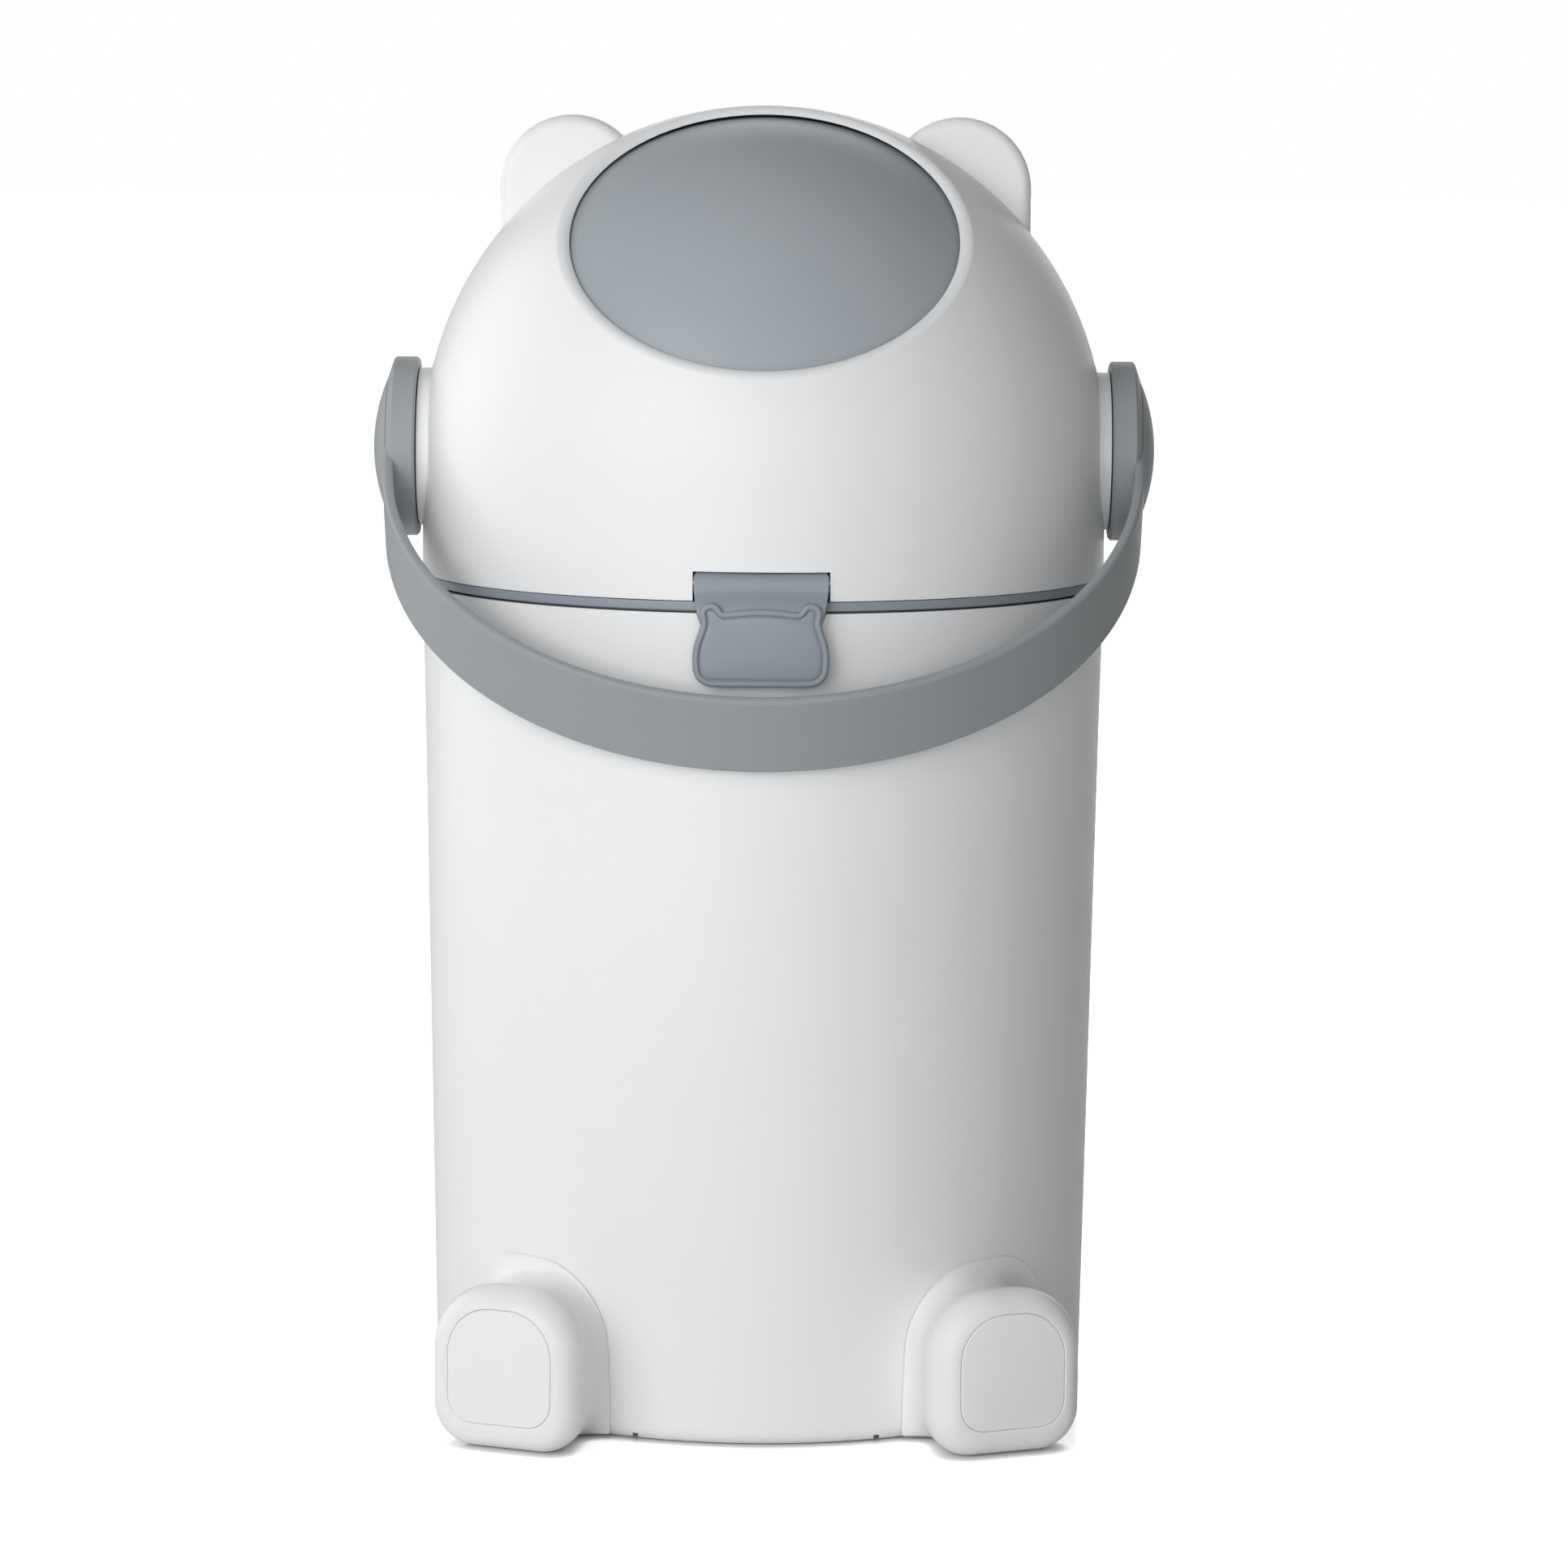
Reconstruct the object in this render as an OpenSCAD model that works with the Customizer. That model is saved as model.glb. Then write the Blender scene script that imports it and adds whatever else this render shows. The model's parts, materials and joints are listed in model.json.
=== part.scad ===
// Nappy bin with two feet and two ears.
// A hinged, domed head stands on a tapered tube. Inside the head a ball-shaped drum turns
// with the carrying handle: its closed side shuts the opening, its mouth faces the bag.
// The origin is on the floor under the tube's axis. +Z is up and the front faces -Y.

/* [Tube] */
// Outer diameter of the tube at its top edge, and of the dome above it
top_d = 260; // [240:1:290]
// Outer diameter of the tube at the floor
base_d = 249; // [230:1:270]
// Height of the tube's top edge above the floor
tube_h = 308; // [260:0.5:360]
// Wall of the tube
tube_wall = 2.5; // [2:0.1:4]
// Radius of the tube's bottom edge
base_edge_r = 6; // [3:0.5:9]
// Width of the flat ring on which the tube stands
stand_w = 6; // [3:0.5:12]
// Height of the tube's recessed floor above the ground
floor_z = 4; // [3:0.5:15]
// Thickness of the tube's floor
floor_t = 3; // [2:0.5:5]
// Width of the two small notches in the bottom edge
notch_w = 2; // [1:0.5:5]
// Height of the two small notches
notch_h = 2.5; // [1:0.5:4]
// Distance of each notch from the middle
notch_x = 44.5; // [20:0.5:60]

/* [Feet] */
// Width of a foot across its sole
foot_w = 58.8; // [50:0.2:66]
// Height of a foot
foot_h = 60.8; // [52:0.2:70]
// Radius of the foot's rounded edges
foot_edge_r = 10; // [6:0.5:14]
// Radius of the sole's upper corners
foot_top_r = 24; // [16:0.5:28]
// Radius of the sole's lower corners
foot_low_r = 16; // [15:0.5:24]
// Distance of the sole's middle from the middle of the tube, sideways
foot_x = 94; // [84:0.5:100]
// How far the sole stands in front of the tube's axis
foot_reach = 137.4; // [130:0.2:150]
// Angle by which a foot is turned outwards
foot_turn = 22; // [10:1:30]
// Depth of the foot's full section behind its sole
foot_cap = 16; // [12:0.5:22]
// How much narrower the foot is at its waist, on each side
waist_in = 4; // [1:0.5:8]
// Distance of the waist from the sole
waist_y = 31; // [26:0.5:36]
// Width of the inset sole panel
sole_w = 41.2; // [32:0.2:46]
// Height of the inset sole panel
sole_h = 42.8; // [34:0.2:46]
// Height of the sole panel's lower edge
sole_up = 10.4; // [8:0.2:14]
// Thickness of the sole panel
sole_t = 2.4; // [1.5:0.1:4]
// Width of the groove round the sole panel
sole_gap = 0.4; // [0.2:0.1:1]
// Thickness of the flange that lies on the tube
flange_t = 1.6; // [1.2:0.1:4]
// Direction of the flange's middle, from the front
flange_az = 42.5; // [38:0.5:48]
// Width of the flange
flange_w = 72; // [64:1:84]
// Height of the flange's arched top
flange_h = 63.6; // [56:0.2:74]

/* [Head] */
// Height of the bag ring's rim between tube and dome
ring_t = 4.2; // [2.5:0.1:6]
// Height of the dome's straight wall, from its lower edge to the hub axis
skirt_h = 46.5; // [40:0.5:60]
// Wall of the dome
dome_wall = 3; // [2.5:0.1:4]
// Clear diameter of the opening in the dome
opening_d = 144; // [120:1:156]
// Angle of the opening's axis from the vertical, to the front
opening_tilt = 39; // [33:1:43]
// Radius of the opening's rounded edge
lip_r = 5; // [4:0.1:6]
// How far the rounded edge turns down into the opening, past its axis
lip_turn = 32; // [20:1:45]
// Radius of an ear
ear_r = 27; // [20:0.5:32]
// Distance of an ear's middle from the middle of the dome, sideways
ear_x = 73.5; // [66:0.5:80]
// Height of an ear's middle above the hub axis
ear_up = 99; // [90:0.5:105]
// Thickness of an ear from front to back
ear_t = 22; // [16:0.5:30]
// Radius of an ear's rounded edge
ear_edge_r = 4; // [2:0.5:6]

/* [Drum] */
// Gap between the dome's inside and the drum
drum_gap = 1.3; // [1:0.1:2]
// Wall of the drum
drum_wall = 2.5; // [2:0.1:4]
// Diameter of the drum's mouth
mouth_d = 144; // [120:1:150]
// Depth below the hub axis at which the drum's two shells meet
split_drop = 30; // [28:1:40]
// Wall of the bowl under the drum
bowl_wall = 1.6; // [1.4:0.1:2]
// Radius of the drum's trunnion
trunnion_r = 11; // [8:0.5:12]
// Wall of the bearing bush round a trunnion
bush_wall = 3; // [2:0.5:4]

/* [Handle] */
// Width of the handle's strap
strap_w = 33.4; // [28:0.2:38]
// Thickness of the strap
strap_t = 4; // [3:0.1:6]
// How far the strap's bow stands out from the hub discs
bow_out = 0.4; // [0:0.1:12]
// Length of the straight arms, from the hub axis to the bow
arm_l = 29.8; // [28:0.2:50]
// Angle of the resting handle below the horizontal
rest_drop = 33; // [28:0.5:34]
// Radius of the hub discs
hub_r = 34.1; // [30:0.1:38]
// Thickness of a hub disc at its middle
hub_t = 11.2; // [9:0.1:13]
// Height of the sloping shoulder between the disc's rim and its cap
shoulder_h = 1.8; // [0.5:0.1:3]
// Radius of the bosses on the dome
boss_r = 30; // [28:0.5:34]
// Radius of a hub cap
cap_r = 27; // [20:0.5:30]
// Height of a hub cap's crown
cap_h = 5.8; // [4:0.1:10]

/* [Latch] */
// Width of the latch
latch_w = 50; // [40:1:60]
// Lowest point of the latch below the tube's top edge
latch_drop = 26; // [22:0.5:30]
// Thickness of the latch's paddle
latch_t = 3; // [2.5:0.1:4]
// Width of the paddle's raised rim
rim_w = 2.2; // [1.5:0.1:2.8]
// Height of the paddle's raised rim
rim_h = 1; // [0.6:0.1:2]

/* [Hidden] */
$fn = 96;

// Clearances
seat_gap = 0.15;    // between a piece and the curved wall it is fixed to
run_gap = 0.3;      // between pieces that move past each other
pin_gap = 0.05;     // round a shaft, a pin or a bush
eps = 0.01;
far = 400;

// Tube
top_r = top_d / 2;
base_r = base_d / 2;
function tube_r(z) = base_r + (top_r - base_r) * z / tube_h;
floor_top = floor_z + floor_t;

// Heights
ring_top = tube_h + ring_t;
seam_z = ring_top + run_gap;
axis_z = seam_z + skirt_h;

// Dome, drum and bowl are spheres round the hub axis
dome_in = top_r - dome_wall;
drum_r = dome_in - drum_gap;
drum_in = drum_r - drum_wall;
bowl_in = dome_in;
bowl_out = bowl_in + bowl_wall;
mouth_r = mouth_d / 2;
lap_h = 5;          // height of the lap joint between the drum's shells
lap_gap = 0.1;
function drop_at(sphere_r, rho) = sqrt(sphere_r * sphere_r - rho * rho);

// Cover flange inside the dome's skirt, with the seal under it
cover_z = seam_z + 3;
cover_t = 3;
cover_r = dome_in - 0.2;
outlet_r = mouth_r + 2;

// Hub
boss_x = top_r + 1;
disc_x = boss_x + 0.5;
disc_out = disc_x + hub_t;
bow_r = disc_out + bow_out;
bush_r = trunnion_r + bush_wall;
bush_flange_r = bush_r + 4;
bush_flange_t = 1.5;
pad_r = split_drop - lap_h - 0.6;
pad_x = drop_at(drum_in, pad_r);
trunnion_flange_r = pad_r - 0.4;
trunnion_flange_t = 3;
trunnion_screw_bite = 2.4;
key_w = 13;
key_x = disc_x + 1;
key_end = disc_out - 3;
hub_edge = 0.8;
hub_screw_r = 2.5;
hub_screw_bite = hub_t + 1;

// Rear hinge
hinge_y = top_r + 6;
hinge_z = tube_h + ring_t / 2 + 0.7;
hinge_r = 5;
hinge_pin_r = 2;
knuckle_w = 34;
lug_w = 14;
pin_bore = 60;       // half the length that is bored for the hinge pin

// Front latch
latch_y = -(top_r - 4.6);
latch_z = seam_z + 6.4;
latch_barrel_r = 3.6;
latch_pin_r = 1.2;
latch_bend = 80;    // how far behind the tube's axis the latch's bend has its middle
latch_in = top_r + 2.4;
latch_out = latch_in + latch_t;
tab_w = latch_w - 1;
window_top = latch_z + latch_barrel_r + 0.6;
window_w = tab_w + 2 * run_gap;
keeper_z = tube_h - 8.5;
keeper_h = 3;
keeper_out = 0.8;
catch_w = latch_w / 4;
paddle_bottom = tube_h - latch_drop;

// Points along an arc round [cx, cy], from angle a to angle b
function arc(cx, cy, r, a, b, n) =
    [for (i = [0:n]) [cx + r * cos(a + (b - a) * i / n), cy + r * sin(a + (b - a) * i / n)]];

// A rectangle from [x0, y0] to [x1, y1] with rounded corners
module rounded_rect(x0, y0, x1, y1, r, n = 6) {
    polygon(concat(
        arc(x1 - r, y1 - r, r, 0, 90, n),
        arc(x0 + r, y1 - r, r, 90, 180, n),
        arc(x0 + r, y0 + r, r, 180, 270, n),
        arc(x1 - r, y0 + r, r, 270, 360, n)));
}

// Unit vector, and the arc that rounds corner q between its neighbours p and s
function unit(v) = v / norm(v);
function corner_arc(p, q, s, r, n) =
    let (u = unit(p - q), v = unit(s - q), half = acos(u * v) / 2,
         c = q + unit(u + v) * r / sin(half),
         a = atan2((q + u * r / tan(half) - c)[1], (q + u * r / tan(half) - c)[0]),
         b = atan2((q + v * r / tan(half) - c)[1], (q + v * r / tan(half) - c)[0]),
         turn = (b - a) > 180 ? b - a - 360 : (b - a) < -180 ? b - a + 360 : b - a)
    arc(c[0], c[1], r, a, a + turn, n);

// Moves the sides of a rounded polygon, listed anticlockwise, inwards by w
function flat(c) = [c[0], c[1]];
function inset_corner(p, q, s, r, w) =
    let (u = unit(p - q), v = unit(s - q), side = sign(cross(v, u)),
         c = q + side * unit(u + v) * w / sin(acos(u * v) / 2))
    [c[0], c[1], r - side * w];
function inset_corners(cs, w) =
    let (m = len(cs))
    [for (i = [0:m - 1])
        inset_corner(flat(cs[(i + m - 1) % m]), flat(cs[i]), flat(cs[(i + 1) % m]), cs[i][2], w)];

// A polygon whose corners [x, y, r] are each rounded by their own radius
module rounded_polygon(corners, n = 6) {
    m = len(corners);
    polygon([for (i = [0:m - 1])
        each corner_arc(flat(corners[(i + m - 1) % m]), flat(corners[i]), flat(corners[(i + 1) % m]),
                        corners[i][2], n)]);
}

// A bar along the hub axis, from x0 to x1
module x_bar(r, x0, x1) {
    translate([x0, 0, 0]) rotate([0, 90, 0]) cylinder(r = r, h = x1 - x0);
}

// Moves its children to the hub axis
module at_axis() {
    translate([0, 0, axis_z]) children();
}

// Left pieces are the right ones mirrored
module on_side(side) {
    if (side < 0) mirror([1, 0, 0]) children();
    else children();
}

module both_sides() {
    on_side(1) children();
    on_side(-1) children();
}

// ---- Tube, feet and bag ring -------------------------------------------------

// The tube's section: tapered wall, rounded bottom edge, stand ring and recessed floor
module tube_profile() {
    edge_c = base_r - base_edge_r;
    stand_in = edge_c - stand_w;
    polygon(concat(
        arc(edge_c, base_edge_r, base_edge_r, -90, 0, 6),
        [[top_r, tube_h],
         [top_r - tube_wall, tube_h]],
        arc(edge_c, base_edge_r, base_edge_r - tube_wall, 0, -90, 6),
        [[stand_in + tube_wall / 2, tube_wall],
         [stand_in, floor_top],
         [0, floor_top],
         [0, floor_z],
         [stand_in - tube_wall, floor_z],
         [stand_in, 0]]));
}

// Two lugs behind the rim carry the hinge pin
module hinge_lug() {
    x0 = knuckle_w / 2 + run_gap;
    rotate([90, 0, 90])
    translate([0, 0, x0])
    linear_extrude(height = lug_w)
    union() {
        translate([hinge_y, hinge_z]) circle(r = hinge_r);
        polygon([[tube_r(tube_h - 24) - tube_wall, tube_h - 26],
                 [tube_r(tube_h) - tube_wall + 0.4, tube_h - 0.2],
                 [hinge_y - hinge_r + 0.4, hinge_z - 2],
                 [hinge_y + hinge_r - 0.2, hinge_z],
                 [hinge_y + hinge_r - 1, hinge_z - 6]]);
    }
}

// A ridge on the front wall holds the latch down
module keeper() {
    intersection() {
        translate([0, 0, keeper_z])
        difference() {
            cylinder(r = tube_r(keeper_z) + keeper_out, h = keeper_h);
            translate([0, 0, -1]) cylinder(r = tube_r(keeper_z) - tube_wall / 2, h = keeper_h + 2);
        }
        translate([-catch_w / 2, -far, 0]) cube([catch_w, far, far]);
    }
}

module foot_screw_places() {
    for (z = [foot_h * 0.34, foot_h * 0.72])
        rotate([0, 0, foot_az]) translate([0, 0, z]) rotate([90, 0, 0]) children();
}

module tube() color("white") difference() {
    union() {
        rotate_extrude() tube_profile();
        both_sides() intersection() {
            hinge_lug();
            difference() {
                cylinder(r = hinge_y + hinge_r * 2, h = tube_h * 2);
                cylinder(r1 = base_r - tube_wall + eps, r2 = top_r - tube_wall + eps, h = tube_h);
                translate([0, 0, tube_h]) cylinder(r = top_r, h = tube_h);
            }
        }
        keeper();
    }
    for (s = [-1, 1])
        translate([s * notch_x - notch_w / 2, -base_r - 5, 0]) cube([notch_w, 30, notch_h]);
    translate([0, hinge_y, hinge_z]) x_bar(hinge_pin_r + pin_gap, -pin_bore, pin_bore);
    both_sides() foot_screw_places() cylinder(r = foot_screw_r + 0.2, h = far);
}

// Direction of the sole's middle from the tube's axis
foot_az = atan2(foot_x, foot_reach);
foot_screw_r = 2;
foot_screw_bite = foot_h * 0.2;
plate_t = 0.5;
plate_inset = 0.05;
flange_edge = 7;    // width of the flange round the foot's neck
root_y = sqrt(base_r * base_r - (flange_w / 2 - flange_edge) * (flange_w / 2 - flange_edge)) - 1;

// The foot's own frame: its sole faces -Y and its middle is at the origin
module foot_frame() {
    translate([foot_x, -foot_reach, 0]) rotate([0, 0, foot_turn]) children();
}

// The sole's outline with its four round corners, made smaller by a waist
module foot_section(waist) {
    half = foot_w / 2 - waist;
    top = foot_h - waist;
    rounded_polygon([
        [half, 0, foot_low_r], [half, top, foot_top_r - waist],
        [-half, top, foot_top_r - waist], [-half, 0, foot_low_r]], 6);
}

// A thin plate of the foot's section at depth y behind the sole
module foot_plate(y, waist) {
    translate([0, y, 0]) rotate([90, 0, 0]) linear_extrude(height = plate_t) foot_section(waist);
}

// Middles of the balls that round the front edge of the foot
foot_balls = concat(
    arc(foot_w / 2 - foot_top_r, foot_h - foot_top_r, foot_top_r - foot_edge_r, 0, 90, 4),
    arc(foot_top_r - foot_w / 2, foot_h - foot_top_r, foot_top_r - foot_edge_r, 90, 180, 4),
    arc(foot_low_r - foot_w / 2, foot_low_r, foot_low_r - foot_edge_r, 180, 270, 2),
    arc(foot_w / 2 - foot_low_r, foot_low_r, foot_low_r - foot_edge_r, 270, 360, 2));

// The foot's cap with its rounded front edge
module foot_cap() {
    foot_frame() hull() {
        for (c = foot_balls)
            translate([c[0], foot_edge_r, c[1]]) sphere(r = foot_edge_r, $fn = 32);
        foot_plate(foot_cap, 0);
    }
}

// From the cap the foot narrows to its waist, and from there it widens to the flange.
// Each stretch starts a little inside the end of the one before it.
module foot_neck() {
    foot_frame() hull() {
        foot_plate(foot_cap, plate_inset);
        foot_plate(waist_y, waist_in);
    }
    hull() {
        foot_frame() foot_plate(waist_y, waist_in + plate_inset);
        flange_prism(root_y - plate_t, root_y, flange_edge);
    }
}

// The flange's outline in front of the tube: straight sides and an arched top
module flange_outline(inset) {
    half = flange_w / 2;
    side = [[half, 0, 0.5], [half - 2.6, flange_h - 3.4, 27]];
    corners = concat(side, [[0, flange_h + 0.6, 80]],
                     [for (i = [1, 0]) [-side[i][0], side[i][1], side[i][2]]]);
    intersection() {
        rounded_polygon(inset_corners(corners, inset), 6);
        translate([-half, eps]) square([flange_w, flange_h + 1]);
    }
}

// The flange's outline extruded along its own direction, from distance r0 to r1 of the axis
module flange_prism(r0, r1, inset) {
    rotate([0, 0, flange_az]) translate([0, -r0, 0]) rotate([90, 0, 0])
        linear_extrude(height = r1 - r0) flange_outline(inset);
}

module foot_flange() {
    intersection() {
        cylinder(r1 = base_r + flange_t, r2 = tube_r(flange_h * 2) + flange_t, h = flange_h * 2);
        flange_prism(eps, base_r * 2, 0);
    }
}

// The sole panel's outline: nearly straight sides, and upper corners rounder than the lower
module sole_outline(grow) {
    half = sole_w / 2;
    side = [[half - 0.7, sole_up, 9.5], [half, sole_up + sole_h / 2, 80],
            [half - 1.2, sole_up + sole_h, 17]];
    rounded_polygon(inset_corners(concat(
        side, [for (i = [2:-1:0]) [-side[i][0], side[i][1], side[i][2]]]), -grow), 8);
}

module sole_cut(grow, depth) {
    foot_frame() translate([0, depth, 0]) rotate([90, 0, 0])
        linear_extrude(height = depth + (grow > 0 ? 1 : 0)) sole_outline(grow);
}

module foot() difference() {
    union() {
        foot_cap();
        foot_neck();
        foot_flange();
    }
    translate([0, 0, -foot_h])
        cylinder(r1 = tube_r(-foot_h) + seat_gap, r2 = tube_r(foot_h * 2) + seat_gap, h = foot_h * 3);
    sole_cut(sole_gap, sole_t);
    foot_screw_places() cylinder(r = foot_screw_r + pin_gap, h = base_r + foot_screw_bite + 1);
}

module foot_left() color("white") on_side(-1) foot();
module foot_right() color("white") on_side(1) foot();
module sole_panel_left() color("whitesmoke") on_side(-1) sole_cut(0, sole_t);
module sole_panel_right() color("whitesmoke") on_side(1) sole_cut(0, sole_t);

module foot_screws() color("silver") both_sides() foot_screw_places() {
    head_back = tube_r(foot_h / 2) - tube_wall - 3;
    head_t = 1.8;
    translate([0, 0, head_back]) cylinder(r = foot_screw_r * 2, h = head_t);
    translate([0, 0, head_back + head_t])
        cylinder(r = foot_screw_r, h = base_r + foot_screw_bite - head_back - head_t);
}

// The ring that grips the bag: a rim on the tube and a skirt inside it
ring_r = top_r - 0.3;
ring_skirt_r = top_r - tube_wall - 4.5;
ring_skirt_t = 2;
ring_skirt_h = 18;
ring_in = ring_skirt_r - ring_skirt_t;
ring_top_edge = 0.3;
ring_low_edge = 0.6;

module bag_ring() color("slategray") rotate_extrude() polygon([
    [ring_in, ring_top - 0.8],
    [ring_in + 0.8, ring_top],
    [ring_r - ring_top_edge, ring_top],
    [ring_r, ring_top - ring_top_edge],
    [ring_r, tube_h + ring_low_edge],
    [ring_r - ring_low_edge, tube_h],
    [ring_skirt_r + 1, tube_h],
    [ring_skirt_r, tube_h - 1],
    [ring_skirt_r, tube_h - ring_skirt_h],
    [ring_in, tube_h - ring_skirt_h]]);

module hinge_pin() color("silver")
    translate([0, hinge_y, hinge_z]) x_bar(hinge_pin_r, -knuckle_w / 2 - lug_w, knuckle_w / 2 + lug_w);

// ---- Head --------------------------------------------------------------------

// A solid of the dome's outer form, or of its inside: half a ball on a cylinder
module dome_form(r, bottom) {
    at_axis() intersection() {
        sphere(r = r, $fn = 128);
        translate([-r - 1, -r - 1, 0]) cube([2 * r + 2, 2 * r + 2, r + 1]);
    }
    translate([0, 0, bottom]) cylinder(r = r, h = axis_z - bottom, $fn = 128);
}

// Half a rounded disc on a rounded post; shrink is the distance from the outer form
module ear_form(shrink) {
    r = ear_r - shrink;
    t = ear_t - 2 * shrink;
    e = ear_edge_r - shrink;
    translate([ear_x, 0, axis_z + ear_up]) {
        intersection() {
            rotate([90, 0, 0]) rotate_extrude() polygon(concat(
                [[0, -t / 2]],
                arc(r - e, -t / 2 + e, e, -90, 0, 6),
                arc(r - e, t / 2 - e, e, 0, 90, 6),
                [[0, t / 2]]));
            translate([-ear_r, -ear_t, 0]) cube([2 * ear_r, 2 * ear_t, 2 * ear_r]);
        }
        translate([0, 0, -ear_up / 2]) linear_extrude(height = ear_up / 2)
            rounded_rect(-r, -t / 2, r, t / 2, e, 6);
    }
}

ear_y = 5;

// Cutter for the opening: a bore whose mouth flares in a rounded edge
module opening_cutter() {
    ball = top_r - lip_r + 0.1;
    rho = opening_d / 2 + lip_r * sin(lip_turn);
    w = drop_at(ball, rho);
    lean = atan2(rho, w);
    at_axis() rotate([opening_tilt, 0, 0]) rotate_extrude($fn = 128) polygon(concat(
        [[0, w / 2], [opening_d / 2, w / 2]],
        arc(rho, w, lip_r, 90 + lip_turn, 90 - lean, 8),
        [[rho + 12 * sin(lean), w + 12 * cos(lean) + 4], [0, 2 * top_r]]));
}

module latch_window() {
    translate([-window_w / 2, -far, seam_z - 1])
        cube([window_w, far + latch_y + 6, window_top - seam_z + 1]);
}

module hinge_knuckle() {
    rotate([90, 0, 90])
    translate([0, 0, -knuckle_w / 2])
    linear_extrude(height = knuckle_w)
    union() {
        translate([hinge_y, hinge_z]) circle(r = hinge_r);
        polygon([[hinge_y + hinge_r - 0.6, hinge_z + 1],
                 [top_r - 1, hinge_z + 24],
                 [top_r - 2, seam_z + 2],
                 [hinge_y - 3, hinge_z + 1]]);
    }
}

module dome() color("white") difference() {
    union() {
        difference() {
            union() {
                dome_form(top_r, seam_z);
                both_sides() translate([0, ear_y, 0]) ear_form(0);
                at_axis() x_bar(boss_r, -boss_x, boss_x);
            }
            dome_form(dome_in, seam_z - 1);
            both_sides() translate([0, ear_y, 0]) ear_form(dome_wall - 0.4);
        }
        difference() {
            hinge_knuckle();
            translate([0, 0, seam_z - 8]) cylinder(r = top_r - 1, h = far);
        }
        cover_screw_places() translate([0, 0, cover_z + cover_t])
            cylinder(r = cover_boss_r, h = cover_boss_h + 1);
    }
    cover_screw_places() translate([0, 0, cover_z])
        cylinder(r = cover_screw_r + pin_gap, h = cover_t + cover_boss_h);
    opening_cutter();
    latch_window();
    at_axis() x_bar(bush_r + pin_gap, -far, far);
    at_axis() both_sides() x_bar(bush_flange_r + pin_gap, boss_x - bush_flange_t, far);
    translate([0, hinge_y, hinge_z]) x_bar(hinge_pin_r + pin_gap, -pin_bore, pin_bore);
    translate([0, latch_y, latch_z]) x_bar(latch_pin_r + pin_gap, -pin_half, pin_half);
}

// A thin lip ring on the inside of a sphere, round a hole of radius rho
module wiper(rho, sphere_r, t) {
    difference() {
        cylinder(r = rho + 7, h = sphere_r);
        translate([0, 0, -1]) cylinder(r = rho + 1.5, h = sphere_r + 2);
        sphere(r = sphere_r - t, $fn = 128);
        difference() {
            sphere(r = 2 * sphere_r);
            sphere(r = sphere_r, $fn = 128);
        }
    }
}

wiper_t = 0.9;

module opening_seal() color("gray") at_axis() rotate([opening_tilt, 0, 0])
    wiper(opening_d / 2 + 3, dome_in - pin_gap, wiper_t);

module outlet_seal() color("gray") at_axis() rotate([180, 0, 0])
    wiper(outlet_r, bowl_in - pin_gap, wiper_t);

// The bowl closes the head below the drum; its flange is screwed into the dome's skirt
module drum_bowl_cover() color("lightgray") difference() {
    union() {
        at_axis() intersection() {
            sphere(r = bowl_out, $fn = 128);
            translate([-far, -far, -far]) cube([2 * far, 2 * far, far - (axis_z - cover_z - cover_t)]);
        }
        translate([0, 0, cover_z]) cylinder(r = cover_r, h = cover_t);
    }
    at_axis() sphere(r = bowl_in, $fn = 128);
    cylinder(r = outlet_r, h = axis_z);
    translate([-window_w / 2 - 1, -far, cover_z - 1])
        cube([window_w + 2, far - (drop_at(bowl_out, axis_z - cover_z) + 0.5), cover_t + 2]);
    cover_screw_places() cylinder(r = cover_screw_r + pin_gap, h = axis_z);
}

cover_screw_r = 1.5;
cover_screw_ring = dome_in - 2;
cover_boss_r = 2.8;
cover_boss_h = 6;

module cover_screw_places() {
    for (a = [0:60:300]) rotate([0, 0, a]) translate([cover_screw_ring, 0, 0]) children();
}

module cover_screws() color("silver") cover_screw_places() {
    translate([0, 0, cover_z - 1.2]) cylinder(r = cover_screw_r + 0.4, h = 1.2);
    translate([0, 0, cover_z]) cylinder(r = cover_screw_r, h = cover_t + cover_boss_h - 1);
}

// Soft ring under the cover's flange; it rests on the bag ring
module head_seal() color("gray") difference() {
    seal_in = drop_at(bowl_out, axis_z - cover_z) + seat_gap;
    translate([0, 0, seam_z]) cylinder(r = seal_in + 1.5, h = cover_z - seam_z);
    translate([0, 0, seam_z - 1]) cylinder(r = seal_in, h = cover_z - seam_z + 2);
}

module bush() at_axis() difference() {
    union() {
        x_bar(bush_r, drum_r + 0.6, boss_x - bush_flange_t);
        x_bar(bush_flange_r, boss_x - bush_flange_t, boss_x + 0.2);
    }
    x_bar(trunnion_r + pin_gap, 0, far);
}

module bush_left() color("gainsboro") on_side(-1) bush();
module bush_right() color("gainsboro") on_side(1) bush();

// ---- Latch -------------------------------------------------------------------

pin_half = window_w / 2 + 3;

crown_h = 27.2;      // middle of the paddle's top, above its bottom
crown_r = 60;        // radius of the crown between the paddle's ears
tab_foot_h = 12;     // lower end of the tab, above the paddle's bottom
tab_neck_h = 22;     // where the tab starts to narrow towards its foot
tab_lap = 10;        // lowest point of the tab's section

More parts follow.
